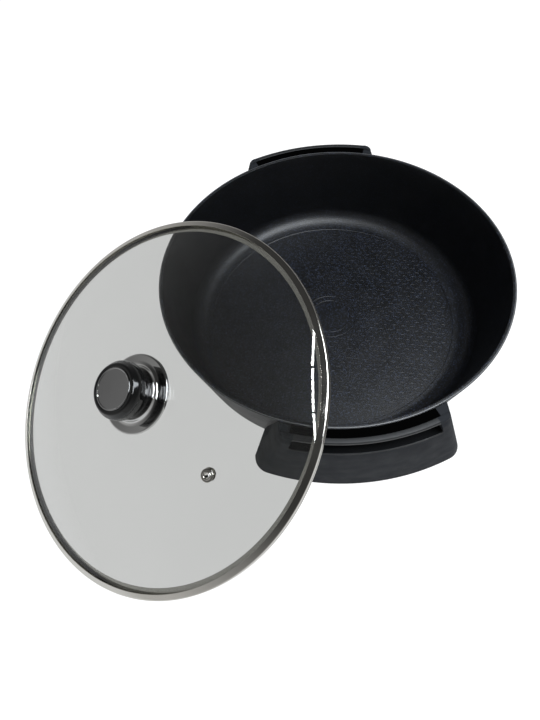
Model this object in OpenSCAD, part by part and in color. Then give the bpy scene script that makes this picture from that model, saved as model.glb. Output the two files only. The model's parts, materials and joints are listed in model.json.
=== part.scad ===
// Round electric skillet: a deep coated pan on two handle legs, with a loose glass lid that
// leans on the front handle and on the table. Millimetres, +Z up. The origin is on the pan's axis at
// table level, and the front handle points to -Y.

/* [Pan] */
// Outer diameter of the rim
pan_d = 340; // [320:1:360]
// Height of the rim above the table
rim_h = 130; // [124:1:140]
// Depth from the rim to the cooking floor
pan_depth = 83; // [76:1:88]
// Thickness of the wall
pan_wall = 3.2; // [2.6:0.1:4.5]
// Thickness of the floor
floor_t = 5; // [4:0.5:7]
// Lean of the wall from the vertical, in degrees
wall_lean = 11.5; // [9:0.5:13]
// Radius of the corner between wall and floor, inside
corner_r = 20; // [16:1:26]

/* [Heating element] */
// Mean diameter of the element's ring
heater_d = 190; // [180:1:200]
// Diameter of the element's sheath
heater_tube = 8; // [6.5:0.5:9]
// Depth of the element's centre below the pan's underside
heater_drop = 7.5; // [7:0.5:9]
// Cast metal around the sheath
rib_wall = 3.5; // [2.5:0.5:5]
// Radius of the bends where the ends leave the ring
bend_r = 12; // [9:0.5:15]

/* [Probe bore] */
// Diameter of the bore for the controller's probe
probe_d = 6.6; // [5:0.1:8]
// Length of that bore
probe_len = 50; // [40:1:60]
// Cast metal around the bore
probe_wall = 3.5; // [2.5:0.5:4.5]

/* [Power inlet] */
// Distance between the two terminal pins
pin_pitch = 32; // [28:1:36]
// Diameter of a terminal pin
pin_d = 6; // [4:0.5:7]
// Length of a terminal pin
pin_len = 20; // [14:1:22]
// Outer width of the inlet housing
inlet_w = 66; // [60:1:74]
// Outer height of the inlet housing
inlet_h = 20; // [18:1:22]
// Depth of the inlet housing
inlet_depth = 30; // [28:1:36]
// Wall of the inlet housing
inlet_wall = 3; // [2:0.5:3.5]
// Outer diameter of the ceramic collars on the element's ends
collar_d = 13; // [12:0.5:14]
// Room between the bottom cover and the back of the inlet housing
inlet_gap = 16; // [14:0.5:20]

/* [Bottom cover] */
// Distance of the cover's edge inside the edge of the pan's flat underside
cover_inset = 7; // [5:0.5:10]
// Depth of the cover below the pan's underside
cover_depth = 20; // [19:1:24]
// Thickness of its sheet
cover_t = 0.8; // [0.6:0.1:1.5]
// Distance of its screws from the pan's axis
cover_screw_r = 76; // [70:1:78]

/* [Handle legs] */
// Width of a leg across its top
leg_top_w = 138; // [130:1:150]
// Width of a leg across its foot
leg_foot_w = 208; // [196:1:220]
// Sideways sweep of a leg from its handle to its foot
foot_sweep = 5; // [0:0.5:6]
// Reach of the handle beyond the rim
handle_reach = 15.5; // [14:0.5:20]
// Reach of the leg's foot beyond the rim
foot_reach = 7.5; // [5:0.5:12]
// Radius of the handle's front edge, seen from above
top_arc_r = 192; // [185:1:240]
// Radius of the foot's front edge, seen from above
foot_arc_r = 250; // [230:1:300]
// Depth of the leg's sides, front to back
leg_depth = 42; // [38:1:50]
// Wall of the leg
leg_wall = 4; // [3:0.5:5]
// Height of the handle's lip over the rim
lip_rise = 0.6; // [0:0.1:0.6]
// Thickness of the handle above the finger recess
handle_t = 4; // [3.5:0.5:5]
// Height of the finger recess
recess_h = 15; // [14:0.5:16]
// Depth of the finger recess behind the handle's front edge
recess_depth = 12.5; // [11:0.5:12.5]
// Thickness of the cheeks at the ends of the recess
cheek = 7; // [5:0.5:9]
// Setback of the lip behind the front of the leg's cheeks
lip_setback = 3.3; // [2:0.1:4]
// Width of the raised lip along the handle's front edge
lip_w = 5; // [4:0.5:7]
// Height of the lip over the rest of the handle's top
lip_h = 2.3; // [1:0.1:3]

/* [Feet] */
// Diameter of a rubber foot
foot_d = 14; // [11:0.5:16]
// Height of the pad of a rubber foot
foot_h = 4; // [3:0.5:6]
// Stand-off of the leg above the table
foot_stand = 1.2; // [0.6:0.1:2]
// Distance of a foot from the end of its leg
foot_side = 21; // [20:0.5:26]

/* [Lid] */
// Outer diameter of the lid
lid_d = 355.5; // [350:0.5:362]
// Rise of the glass from its edge to its middle
dome_h = 22.4; // [21:0.1:24]
// Thickness of the glass
glass_t = 4; // [3:0.5:5]
// Width of the steel band over the glass
band_w = 5.5; // [5:0.5:9]
// Width of the band's flange under the glass, which rests on the rim when the lid is on
band_seat_w = 10.4; // [9.5:0.1:12]
// Thickness of the band's sheet
band_t = 0.8; // [0.6:0.1:1.2]

/* [Knob] */
// Diameter of the knob's base plate
base_d = 74; // [68:1:80]
// Height of the base plate's middle over the glass
base_h = 6; // [5:0.5:8]
// Diameter of the knob's head
knob_d = 53; // [50:0.5:56]
// Diameter of the knob's neck
neck_d = 47; // [42:0.5:48]
// Height of the neck
neck_h = 9.5; // [8:0.5:12]
// Height of the head
head_h = 14; // [13:0.5:17]
// Radius of the head's rounded edge
head_round = 6; // [3:0.5:6.5]
// Diameter of the cap let into the head
cap_d = 38; // [32:0.5:39]
// Thickness of the cap
cap_t = 1.2; // [1:0.1:2]
// Thickness of the gaskets above and below the glass
gasket_t = 1.5; // [1:0.1:2]

/* [Steam vent] */
// Diameter of the vent's flange
vent_d = 11.7; // [10:0.1:14]
// Diameter of the vent's hole
vent_hole_d = 4.6; // [3.5:0.1:5]
// Distance of the vent from the knob's axis
vent_r = 104; // [80:0.5:120]
// Direction of the vent from the knob, from the lid's lowest point
vent_dir = 98; // [0:1:359]

/* [Place of the lid] */
// Tilt of the leaning lid
lean_tilt = 28.6; // [28.6:0.1:34]
// Direction in which it leans, from +X
lean_dir = 208.1; // [207:0.1:209]
// Room between the leaning glass and the rim
lean_gap = 0.5; // [0.5:0.1:3]

/* [Clearances] */
// Room between fixed pieces that sit in each other
fit_gap = 0.15; // [0.1:0.05:0.2]
// Room between the handle legs and the pan
leg_gap = 0.5; // [0.4:0.1:0.8]
// Room between the glass and the band
glass_gap = 0.3; // [0.2:0.1:0.4]
// Room around a screw's shank in a plain hole
screw_gap = 0.4; // [0.2:0.1:0.5]

/* [Hidden] */
$fn = 96;
dome_fn = 1440;
lid_fn = 240;
pan_fn = 180;
tube_fn = 48;
over = 1;
slice = 0.01;

pan_black = [0.07, 0.075, 0.085];
bakelite = [0.10, 0.10, 0.105];
steel = [0.72, 0.71, 0.69];
chrome = [0.80, 0.80, 0.80];
zinc = [0.55, 0.56, 0.57];
ceramic = [0.85, 0.83, 0.78];
rubber_black = [0.05, 0.05, 0.05];
silicone = [0.80, 0.80, 0.78];
clear_glass = [0.86, 0.90, 0.90, 0.35];
gloss_black = [0.02, 0.02, 0.02];

// Heights of the pan
pan_r = pan_d / 2;
floor_z = rim_h - pan_depth;
under_z = floor_z - floor_t;
inner_top_r = pan_r - pan_wall / cos(wall_lean);
outer_corner_r = corner_r + pan_wall;
under_r = wall_r(pan_r, under_z + outer_corner_r) - outer_corner_r / cos(wall_lean);
cover_r = under_r - cover_inset;

// Element and inlet
heater_r = heater_d / 2;
heater_z = under_z - heater_drop;
heater_end = asin((pin_pitch / 2 + bend_r) / (heater_r + bend_r));
heater_end_x = (heater_r + bend_r) * cos(heater_end);
bend_neck = 0.4;
bend_lap = 5;
inlet_x = cover_r + inlet_gap;
collar_stand = 2;
tail_end_x = inlet_x + inlet_wall + collar_stand;
rib_r = heater_tube / 2 + rib_wall;
probe_setback = 5;
probe_mouth_x = cover_r - probe_setback;
probe_boss_r = probe_d / 2 + probe_wall;
inlet_round = 3;
lug_w = 12;
lug_t = 4;
lug_z = heater_z + inlet_h / 2;
lug_x = inlet_x + lug_w / 2;
lug_y = inlet_w / 2 + lug_w / 2;

// Screws: shank, head and their engagement
screw_d = 3.8;
screw_head_d = 7.5;
screw_head_h = 2.5;
screw_in = 8;
boss_d = 10;
leg_screw_d = 4.8;
leg_screw_head_d = 9;
leg_screw_head_h = 3;
leg_screw_in = 4.4;
leg_boss_d = 13;
leg_boss_out = 2.4;
leg_screw_dir = 14;

// Cover
cover_z = under_z - cover_depth;
cover_chamfer = 8;
cover_bosses = [45, 135, 225, 315];
notch_gap = 3;
notch_w = pin_pitch + heater_tube + 2 * notch_gap;
notch_z = heater_z - heater_tube / 2 - notch_gap;

// Legs
leg_top_z = rim_h + lip_rise;
handle_low_z = leg_top_z - lip_h - handle_t;
recess_low_z = handle_low_z - recess_h;
leg_screw_z = recess_low_z + recess_h / 2;
lip_r = pan_r + handle_reach;
foot_front = pan_r + foot_reach;
recess_back_r = lip_r - recess_depth;
lip_front_r = lip_r - lip_setback;
recess_w = leg_top_w - 2 * cheek;
leg_corner_top = 9;
leg_corner_foot = 18;
recess_round = 3;
leg_back = foot_front - leg_depth;
leg_boss_r = wall_r(pan_r, leg_screw_z) + leg_boss_out;
foot_inset = 26;
foot_y = foot_front - foot_inset;
foot_x = leg_foot_w / 2 - foot_side;
foot_boss_d = foot_d + 2 * leg_wall;
foot_stem_d = 6;
foot_stem_h = 8;

// Lid
lid_r = lid_d / 2;
glass_r = lid_r - band_t - glass_gap;
glass_edge_z = band_t + glass_gap;
sphere_in = (glass_r * glass_r + dome_h * dome_h) / (2 * dome_h);
sphere_out = sphere_in + glass_t;
sphere_z = glass_edge_z + dome_h - sphere_in;
apex_z = sphere_z + sphere_out;
apex_low_z = sphere_z + sphere_in;
table_gap = 0.4;

// Knob
base_rim = 2;
base_edge = 1.2;
base_low = 0.5;
base_top_z = apex_z + base_h;
knob_top_z = base_top_z + neck_h + head_h;
knob_screw_d = 4.8;
knob_screw_in = 10;
washer_d = 16;
washer_t = 1.2;
gasket_d = 30;
lower_gasket_d = 18;
lower_gasket_z = apex_low_z - gasket_t;
groove_w = 1.2;

// Vent
vent_flange_t = 1.1;
vent_tube_d = vent_hole_d + 3;
vent_ring_t = 1;
vent_below = glass_t + 2 * vent_ring_t;
vent_polar = asin(vent_r / sphere_out);

// Pose of the leaning lid: its band stands on the table and leans on the front handle's lip
lid_z = lid_r * sin(lean_tilt) + table_gap;
sphere_up = lid_z + sphere_z * cos(lean_tilt);
sphere_reach = sqrt(pow(sphere_in - lean_gap, 2) - pow(rim_h - sphere_up, 2));
lid_s = pan_r - sphere_reach - sphere_z * sin(lean_tilt);

// Radius of a leaning wall at height z, when it has radius top_r at the rim
function wall_r(top_r, z) = top_r - (rim_h - z) * tan(wall_lean);

// Half section of a bowl: flat floor, rounded corner and leaning wall
module bowl_2d(top_r, low_z, round_r, high_z) {
    centre_z = low_z + round_r;
    centre_r = wall_r(top_r, centre_z) - round_r / cos(wall_lean);
    polygon([[0, low_z], [centre_r, low_z],
        [centre_r + round_r * cos(wall_lean), centre_z - round_r * sin(wall_lean)],
        [wall_r(top_r, high_z), high_z], [0, high_z]]);
    translate([centre_r, centre_z]) circle(r = round_r);
}

// Outer form of the pan up to a height, grown by a clearance
module pan_outside(grow, high_z) {
    rotate_extrude($fn = pan_fn)
        bowl_2d(pan_r + grow / cos(wall_lean), under_z - grow, outer_corner_r, high_z);
}

// Rectangle with rounded corners, centred
module rounded_rect(w, h, r) {
    square([w - 2 * r, h], center = true);
    square([w, h - 2 * r], center = true);
    for (x = [-1, 1], y = [-1, 1])
        translate([x * (w / 2 - r), y * (h / 2 - r)]) circle(r = r);
}

// Both sides of the XZ plane
module both_sides() {
    children();
    mirror([0, 1, 0]) children();
}

// Ring of the element, open towards the inlet, with its ends moved on by an angle
module heater_ring(d, further) {
    rotate([0, 0, heater_end - further])
        rotate_extrude(angle = 360 - 2 * (heater_end - further), $fn = pan_fn)
            translate([heater_r, heater_z]) circle(d = d, $fn = tube_fn);
}

// Screw with a flat head, its shank pointing up from the head's seat at z = 0
module screw(d, head_d, head_h, length) {
    translate([0, 0, -head_h]) cylinder(d = head_d, h = head_h);
    cylinder(d = d, h = length);
}

// Places of the handle screws on one leg, with z along the screw towards the pan
module at_leg_screws(r) {
    for (side = [-1, 1])
        rotate([0, 0, side * leg_screw_dir]) translate([0, -r, leg_screw_z]) rotate([-90, 0, 0]) children();
}

// Cast rib that holds the element, and the boss of the probe bore
module under_castings() {
    rotate([0, 0, heater_end])
        rotate_extrude(angle = 360 - 2 * heater_end, $fn = pan_fn) {
            translate([heater_r, heater_z]) circle(r = rib_r);
            translate([heater_r - rib_r, heater_z]) square([2 * rib_r, under_z + over - heater_z]);
        }
    translate([probe_mouth_x - probe_len - probe_wall, 0, heater_z])
        rotate([0, 90, 0]) cylinder(r = probe_boss_r, h = probe_len + probe_wall);
    translate([probe_mouth_x - probe_len - probe_wall, -probe_boss_r, heater_z])
        cube([probe_len + probe_wall, 2 * probe_boss_r, under_z + over - heater_z]);
    for (a = cover_bosses)
        rotate([0, 0, a]) translate([cover_screw_r, 0, cover_z + cover_t])
            cylinder(d = boss_d, h = under_z + over - cover_z - cover_t);
    both_sides() translate([lug_x, lug_y, lug_z]) cylinder(d = boss_d, h = corner_r);
}

module pan() {
    color(pan_black) difference() {
        union() {
            pan_outside(0, rim_h);
            under_castings();
            for (turn = [0, 180]) rotate([0, 0, turn])
                at_leg_screws(leg_boss_r) cylinder(d = leg_boss_d, h = leg_boss_out + pan_wall);
        }
        rotate_extrude($fn = pan_fn) bowl_2d(inner_top_r, floor_z, corner_r, rim_h + over);
        heater_ring(heater_tube + 2 * fit_gap, over);
        translate([probe_mouth_x - probe_len, 0, heater_z])
            rotate([0, 90, 0]) cylinder(d = probe_d, h = probe_len + over);
        for (a = cover_bosses)
            rotate([0, 0, a]) translate([cover_screw_r, 0, cover_z])
                cylinder(d = screw_d + fit_gap, h = screw_in + cover_t + over);
        both_sides() translate([lug_x, lug_y, lug_z - over])
            cylinder(d = screw_d + fit_gap, h = screw_in + over);
        for (turn = [0, 180]) rotate([0, 0, turn])
            at_leg_screws(leg_boss_r + over)
                cylinder(d = leg_screw_d + fit_gap, h = leg_screw_in + over + fit_gap);
    }
}

module heating_element() {
    color(zinc) {
        heater_ring(heater_tube, 0);
        both_sides() {
            translate([heater_end_x, (heater_r + bend_r) * sin(heater_end), 0])
                rotate([0, 0, 180 + heater_end - bend_lap])
                    rotate_extrude(angle = 90 - heater_end + 2 * bend_lap)
                        translate([bend_r, heater_z]) circle(d = heater_tube - bend_neck, $fn = tube_fn);
            translate([heater_end_x, pin_pitch / 2, heater_z])
                rotate([0, 90, 0]) cylinder(d = heater_tube, h = tail_end_x - heater_end_x, $fn = tube_fn);
        }
    }
}

module terminal_pins() {
    tip = pin_d / 4;
    color(steel) both_sides() translate([tail_end_x, pin_pitch / 2, heater_z]) rotate([0, 90, 0]) {
        cylinder(d = pin_d, h = pin_len - tip);
        translate([0, 0, pin_len - tip]) cylinder(d1 = pin_d, d2 = pin_d - 2 * tip, h = tip);
    }
}

module terminal_collars() {
    length = inlet_wall + 2 * collar_stand;
    color(ceramic) both_sides() translate([inlet_x - collar_stand, pin_pitch / 2, heater_z])
        rotate([0, 90, 0]) difference() {
            cylinder(d = collar_d, h = length);
            translate([0, 0, -over]) cylinder(d = heater_tube + 2 * fit_gap, h = length + 2 * over);
        }
}

module inlet_housing() {
    color(bakelite) difference() {
        union() {
            translate([inlet_x, 0, heater_z]) rotate([90, 0, 90])
                linear_extrude(inlet_depth) rounded_rect(inlet_w, inlet_h, inlet_round);
            both_sides() translate([inlet_x, inlet_w / 2 - inlet_wall, lug_z - lug_t])
                cube([lug_w, lug_w + inlet_wall, lug_t]);
        }
        translate([inlet_x + inlet_wall, 0, heater_z]) rotate([90, 0, 90])
            linear_extrude(inlet_depth)
                rounded_rect(inlet_w - 2 * inlet_wall, inlet_h - 2 * inlet_wall, inlet_round - over);
        both_sides() {
            translate([inlet_x - over, pin_pitch / 2, heater_z]) rotate([0, 90, 0])
                cylinder(d = collar_d + 2 * fit_gap, h = inlet_wall + 2 * over);
            translate([lug_x, lug_y, lug_z - lug_t - over])
                cylinder(d = screw_d + screw_gap, h = lug_t + 2 * over);
        }
        translate([inlet_x - over, 0, heater_z]) rotate([0, 90, 0])
            cylinder(d = probe_d + 2 * screw_gap, h = inlet_wall + 2 * over);
        pan_outside(fit_gap, rim_h);
    }
}

module inlet_screws() {
    color(zinc) both_sides() translate([lug_x, lug_y, lug_z - lug_t])
        screw(screw_d, screw_head_d, screw_head_h, lug_t + screw_in - over);
}

module bottom_cover() {
    side_r = cover_r - cover_t;
    color(steel) difference() {
        rotate_extrude($fn = pan_fn) difference() {
            polygon([[0, cover_z], [cover_r - cover_chamfer, cover_z], [cover_r, cover_z + cover_chamfer],
                [cover_r, under_z - fit_gap], [0, under_z - fit_gap]]);
            polygon([[0, cover_z + cover_t], [side_r - cover_chamfer, cover_z + cover_t],
                [side_r, cover_z + cover_t + cover_chamfer], [side_r, under_z], [0, under_z]]);
        }
        for (a = cover_bosses)
            rotate([0, 0, a]) translate([cover_screw_r, 0, cover_z - over])
                cylinder(d = screw_d + screw_gap, h = cover_t + 2 * over);
        translate([heater_end_x, -notch_w / 2, notch_z])
            cube([cover_r, notch_w, under_z - notch_z]);
    }
}

module cover_screws() {
    color(zinc) for (a = cover_bosses)
        rotate([0, 0, a]) translate([cover_screw_r, 0, cover_z])
            screw(screw_d, screw_head_d, screw_head_h, cover_t + screw_in);
}

// Outline of a leg seen from above, with its front edge towards -Y
module leg_plan(w, front, arc_r, corner) {
    offset(r = corner, $fn = tube_fn) offset(delta = -corner)
        intersection() {
            translate([0, arc_r - front]) circle(r = arc_r, $fn = lid_fn);
            translate([-w / 2, -front]) square([w, front]);
        }
}

// One straight flare from the handle's top to the foot, drawn in from the leg's outside
module leg_flare(inset) {
    hull() {
        translate([0, 0, leg_top_z - slice]) linear_extrude(slice)
            leg_plan(leg_top_w - 2 * inset, lip_r - inset, top_arc_r - inset, leg_corner_top);
        translate([foot_sweep, 0, foot_stand]) linear_extrude(slice)
            leg_plan(leg_foot_w - 2 * inset, foot_front - inset, foot_arc_r - inset, leg_corner_foot);
    }
}

// Finger recess under the handle, between the cheeks
module finger_recess() {
    difference() {
        translate([0, 0, recess_low_z + recess_h / 2]) rotate([90, 0, 0])
            linear_extrude(lip_r + over) rounded_rect(recess_w, recess_h, recess_round);
        translate([0, 0, recess_low_z - over])
            cylinder(r = recess_back_r, h = recess_h + 2 * over, $fn = pan_fn);
    }
}

// Room in front of the set-back lip, between the cheeks
module lip_room() {
    room_h = leg_top_z - handle_low_z + over;
    difference() {
        translate([-recess_w / 2, -lip_r - over, handle_low_z]) cube([recess_w, lip_r, room_h]);
        translate([0, 0, handle_low_z - over])
            cylinder(r = lip_front_r, h = room_h + 2 * over, $fn = pan_fn);
    }
}

module handle_leg() {
    color(bakelite) difference() {
        union() {
            difference() {
                leg_flare(0);
                intersection() {
                    leg_flare(leg_wall);
                    translate([-leg_foot_w, -pan_d, 0])
                        cube([2 * leg_foot_w, pan_d, recess_low_z - leg_wall]);
                }
            }
            intersection() {
                leg_flare(0);
                for (side = [-1, 1]) translate([side * foot_x + foot_sweep, -foot_y, foot_stand])
                    cylinder(d = foot_boss_d, h = foot_h + foot_stem_h + leg_wall);
            }
        }
        translate([-leg_foot_w, -leg_back, -over]) cube([2 * leg_foot_w, pan_d, rim_h + 2 * over]);
        pan_outside(leg_gap, rim_h + over);
        finger_recess();
        lip_room();
        translate([0, 0, leg_top_z - lip_h])
            cylinder(r = lip_front_r - lip_w, h = lip_h + over, $fn = pan_fn);
        at_leg_screws(recess_back_r + over) cylinder(d = leg_screw_d + screw_gap, h = recess_depth);
        at_leg_screws(leg_boss_r + leg_gap) cylinder(d = leg_boss_d + 2 * leg_gap, h = recess_depth);
        for (side = [-1, 1]) translate([side * foot_x + foot_sweep, -foot_y, 0]) {
            cylinder(d = foot_d + 2 * fit_gap, h = foot_h + fit_gap);
            cylinder(d = foot_stem_d + 2 * fit_gap, h = foot_h + foot_stem_h + fit_gap);
        }
    }
}

module front_handle_leg() {
    handle_leg();
}

module rear_handle_leg() {
    rotate([0, 0, 180]) handle_leg();
}

module leg_screws() {
    reach = recess_back_r - leg_boss_r + leg_screw_in;
    color(zinc) at_leg_screws(recess_back_r + fit_gap)
        screw(leg_screw_d, leg_screw_head_d, leg_screw_head_h, reach);
}

module front_handle_screws() {
    leg_screws();
}

module rear_handle_screws() {
    rotate([0, 0, 180]) leg_screws();
}

// Rubber foot: a pad with a stem, at the front corner on the given side
module foot(side) {
    color(rubber_black) translate([side * foot_x + foot_sweep, -foot_y, 0]) {
        cylinder(d = foot_d, h = foot_h);
        cylinder(d = foot_stem_d, h = foot_h + foot_stem_h);
    }
}

module front_left_foot() {
    foot(-1);
}

module front_right_foot() {
    foot(1);
}

module rear_left_foot() {
    rotate([0, 0, 180]) foot(1);
}

module rear_right_foot() {
    rotate([0, 0, 180]) foot(-1);
}

// The lid is drawn with its seat on z = 0 and its knob on the Z axis, then put where it leans
module leaning() {
    rotate([0, 0, lean_dir]) translate([lid_s, 0, lid_z]) rotate([0, lean_tilt, 0]) children();
}

// Disc in section about the centre of the glass dome
module dome_2d(r) {
    translate([0, sphere_z]) circle(r = r, $fn = dome_fn);
}

// Place of the vent, with z along its axis from the glass outwards
module at_vent() {
    translate([0, 0, sphere_z]) rotate([0, 0, vent_dir]) rotate([0, vent_polar, 0])
        translate([0, 0, sphere_out]) children();
}

module lid_glass() {
    color(clear_glass) leaning() difference() {
        rotate_extrude($fn = lid_fn) intersection() {
            difference() {
                dome_2d(sphere_out);
                dome_2d(sphere_in);
            }
            square([glass_r, apex_z + over]);
        }
        translate([0, 0, lower_gasket_z])
            cylinder(d = knob_screw_d + 2 * screw_gap, h = glass_t + 2 * gasket_t);
        at_vent() translate([0, 0, -2 * glass_t]) cylinder(d = vent_tube_d + 2 * fit_gap, h = 4 * glass_t);
    }
}

module lid_band() {
    over_r = sphere_out + glass_gap;
    color(steel) leaning() rotate_extrude($fn = lid_fn) {
        translate([lid_r - band_seat_w, 0]) square([band_seat_w, band_t]);
        intersection() {
            translate([lid_r - band_t, 0]) square([band_t, apex_z]);
            dome_2d(over_r + band_t);
        }
        intersection() {
            difference() {
                dome_2d(over_r + band_t);
                dome_2d(over_r);
            }
            translate([lid_r - band_w, 0]) square([band_w, apex_z]);
        }
    }
}

module upper_gasket() {
    color(silicone) leaning() translate([0, 0, apex_z]) difference() {
        cylinder(d = gasket_d, h = gasket_t);
        translate([0, 0, -over]) cylinder(d = knob_screw_d + 2 * screw_gap, h = gasket_t + 2 * over);
    }
}

module knob_base() {
    base_r = base_d / 2;
    plate_z = apex_z + gasket_t;
    dish_r = neck_d / 2 + (base_d - neck_d) / 6;
    color(chrome) leaning() rotate_extrude() difference() {
        union() {
            translate([0, plate_z]) square([base_r, base_edge]);
            translate([base_r - base_rim, apex_z - base_low])
                square([base_rim, base_low + gasket_t + base_edge]);
            polygon([[0, plate_z], [base_r - base_rim, plate_z], [dish_r, plate_z + 2 * base_edge],
                [neck_d / 2, base_top_z], [0, base_top_z]]);
        }
        translate([0, apex_z]) square([knob_screw_d / 2 + screw_gap, base_h + over]);
    }
}

module knob_grip() {
    head_r = knob_d / 2;
    neck_r = neck_d / 2;
    color(gloss_black) leaning() rotate_extrude() difference() {
        union() {
            translate([0, base_top_z]) square([neck_r, neck_h]);
            translate([0, base_top_z + neck_h]) square([head_r - head_round, head_h]);
            translate([0, base_top_z + neck_h + head_round]) square([head_r, head_h - 2 * head_round]);
            translate([head_r - head_round, base_top_z + neck_h + head_round]) circle(r = head_round);
            translate([head_r - head_round, knob_top_z - head_round]) circle(r = head_round);
        }
        translate([neck_r - groove_w, base_top_z + neck_h / 2]) square([2 * groove_w, groove_w]);
        translate([0, knob_top_z - cap_t]) square([cap_d / 2 + fit_gap, cap_t + over]);
        translate([0, base_top_z - over]) square([knob_screw_d / 2 + fit_gap, knob_screw_in + 2 * over]);
    }
}

module knob_cap() {
    color(chrome) leaning() translate([0, 0, knob_top_z - cap_t]) cylinder(d = cap_d, h = cap_t);
}

module lower_gasket() {
    color(silicone) leaning() translate([0, 0, lower_gasket_z]) difference() {
        cylinder(d = lower_gasket_d, h = gasket_t - fit_gap);
        translate([0, 0, -over]) cylinder(d = knob_screw_d + 2 * screw_gap, h = gasket_t + 2 * over);
    }
}

module knob_washer() {
    color(zinc) leaning() translate([0, 0, lower_gasket_z - washer_t]) difference() {
        cylinder(d = washer_d, h = washer_t);
        translate([0, 0, -over]) cylinder(d = knob_screw_d + 2 * screw_gap, h = washer_t + 2 * over);
    }
}

module knob_screw() {
    seat_z = lower_gasket_z - washer_t;
    color(zinc) leaning() translate([0, 0, seat_z])
        screw(knob_screw_d, leg_screw_head_d, leg_screw_head_h, base_top_z + knob_screw_in - seat_z);
}

module vent_eyelet() {
    color(steel) leaning() at_vent() difference() {
        union() {
            translate([0, 0, fit_gap]) cylinder(d = vent_d, h = vent_flange_t);
            translate([0, 0, -vent_below]) cylinder(d = vent_tube_d, h = vent_below + vent_flange_t);
        }
        translate([0, 0, -vent_below - over])
            cylinder(d = vent_hole_d, h = vent_below + vent_flange_t + 2 * over);
    }
}

module vent_ring() {
    color(steel) leaning() at_vent() translate([0, 0, -glass_t - fit_gap - vent_ring_t]) difference() {
        cylinder(d = vent_d, h = vent_ring_t);
        translate([0, 0, -over]) cylinder(d = vent_tube_d + 2 * fit_gap, h = vent_ring_t + 2 * over);
    }
}

pan();
heating_element();
terminal_pins();
terminal_collars();
inlet_housing();
inlet_screws();
bottom_cover();
cover_screws();
front_handle_leg();
rear_handle_leg();
front_handle_screws();
rear_handle_screws();
front_left_foot();
front_right_foot();
rear_left_foot();
rear_right_foot();
lid_glass();
lid_band();
upper_gasket();
knob_base();
knob_grip();
knob_cap();
lower_gasket();
knob_washer();
knob_screw();
vent_eyelet();
vent_ring();
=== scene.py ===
import json
import math

import bmesh
import bpy
from bpy.props import (
    FloatProperty,
    FloatVectorProperty,
    IntProperty,
    PointerProperty,
)
from mathutils import Euler, Matrix, Vector


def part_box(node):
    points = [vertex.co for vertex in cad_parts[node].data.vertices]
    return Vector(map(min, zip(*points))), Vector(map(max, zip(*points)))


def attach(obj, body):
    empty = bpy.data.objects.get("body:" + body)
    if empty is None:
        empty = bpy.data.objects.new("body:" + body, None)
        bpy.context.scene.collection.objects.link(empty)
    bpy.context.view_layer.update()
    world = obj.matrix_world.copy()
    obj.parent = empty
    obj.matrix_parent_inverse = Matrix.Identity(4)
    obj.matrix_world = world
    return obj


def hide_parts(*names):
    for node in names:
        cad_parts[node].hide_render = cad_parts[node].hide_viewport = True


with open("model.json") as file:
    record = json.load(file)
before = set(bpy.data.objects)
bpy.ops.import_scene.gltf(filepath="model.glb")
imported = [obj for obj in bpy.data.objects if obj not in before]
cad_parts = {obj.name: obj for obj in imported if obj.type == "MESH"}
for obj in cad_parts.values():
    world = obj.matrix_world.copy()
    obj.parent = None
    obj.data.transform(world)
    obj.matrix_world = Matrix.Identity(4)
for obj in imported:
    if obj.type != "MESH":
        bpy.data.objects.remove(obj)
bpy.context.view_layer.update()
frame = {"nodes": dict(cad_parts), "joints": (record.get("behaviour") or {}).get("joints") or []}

bl_info = {
    "name": "Electric skillet",
    "version": (1, 0, 0),
    "blender": (4, 5, 0),
    "location": "View3D > Sidebar > Skillet",
    "description": "Dresses the skillet's solids with detailed pieces and finishes",
    "category": "Object",
}

MM = 0.001
NODES = frame["nodes"]


# Sizes of the pan and the lid in millimetres, as in the solids, with heights and places from the frame

RIM_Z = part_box("pan")[1].z / MM
PAN_R = 170.0
PAN_DEPTH = 83.0
WALL_LEAN = math.radians(11.5)
WALL_T = 3.2
FLOOR_T = 5.0
FLOOR_Z = RIM_Z - PAN_DEPTH
UNDER_Z = FLOOR_Z - FLOOR_T
CORNER_R = 20.0
COVER_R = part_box("bottom_cover")[1].x / MM

LID_AXIS = Vector(frame["joints"][0]["axis"]).normalized()
LID_R = 177.75
DOME_H = 22.4
GLASS_T = 4.0
# Room that the band takes outside the glass and below it
BAND_ROOM = 1.1
GLASS_R = LID_R - BAND_ROOM
# The glass lies between two spheres about one centre on the knob's axis
SPHERE_IN = (GLASS_R * GLASS_R + DOME_H * DOME_H) / (2 * DOME_H)
SPHERE_OUT = SPHERE_IN + GLASS_T
SPHERE_Z = BAND_ROOM + DOME_H - SPHERE_IN
APEX_Z = SPHERE_Z + SPHERE_OUT


def middle(node):
    """Middle of a solid's box, in metres."""
    low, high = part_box(node)
    return (low + high) / 2


def lid_matrix():
    """Matrix from the lid's own millimetres, with its seat on z = 0, to the frame."""
    tilt = math.acos(LID_AXIS.z)
    turn = math.atan2(LID_AXIS.y, LID_AXIS.x)
    cap = middle("knob_cap")
    seat_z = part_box("lid_band")[0].z + LID_R * MM * math.sin(tilt)
    seat = cap - LID_AXIS * ((cap.z - seat_z) / LID_AXIS.z)
    turned = Matrix.Rotation(turn, 4, "Z") @ Matrix.Rotation(tilt, 4, "Y")
    return Matrix.Translation(seat) @ turned @ Matrix.Scale(MM, 4)


LID = lid_matrix()
ROOT = Matrix.Scale(MM, 4)


# Meshes

# Distances in metres below which points are joined and slivers are removed
WELD = 2e-6
SLIVER = 1e-6
# Angle in degrees above which an edge is sharp
SHARP = 35.0
# Steps round a small turned piece
SMALL_STEPS = 48
# Largest share of a side that the curve at one of its ends takes
SIDE_SHARE = 0.49


def wall_r(top_r, z):
    """Radius of a leaning wall at height z when it has radius top_r at the rim."""
    return top_r - (RIM_Z - z) * math.tan(WALL_LEAN)


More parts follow.
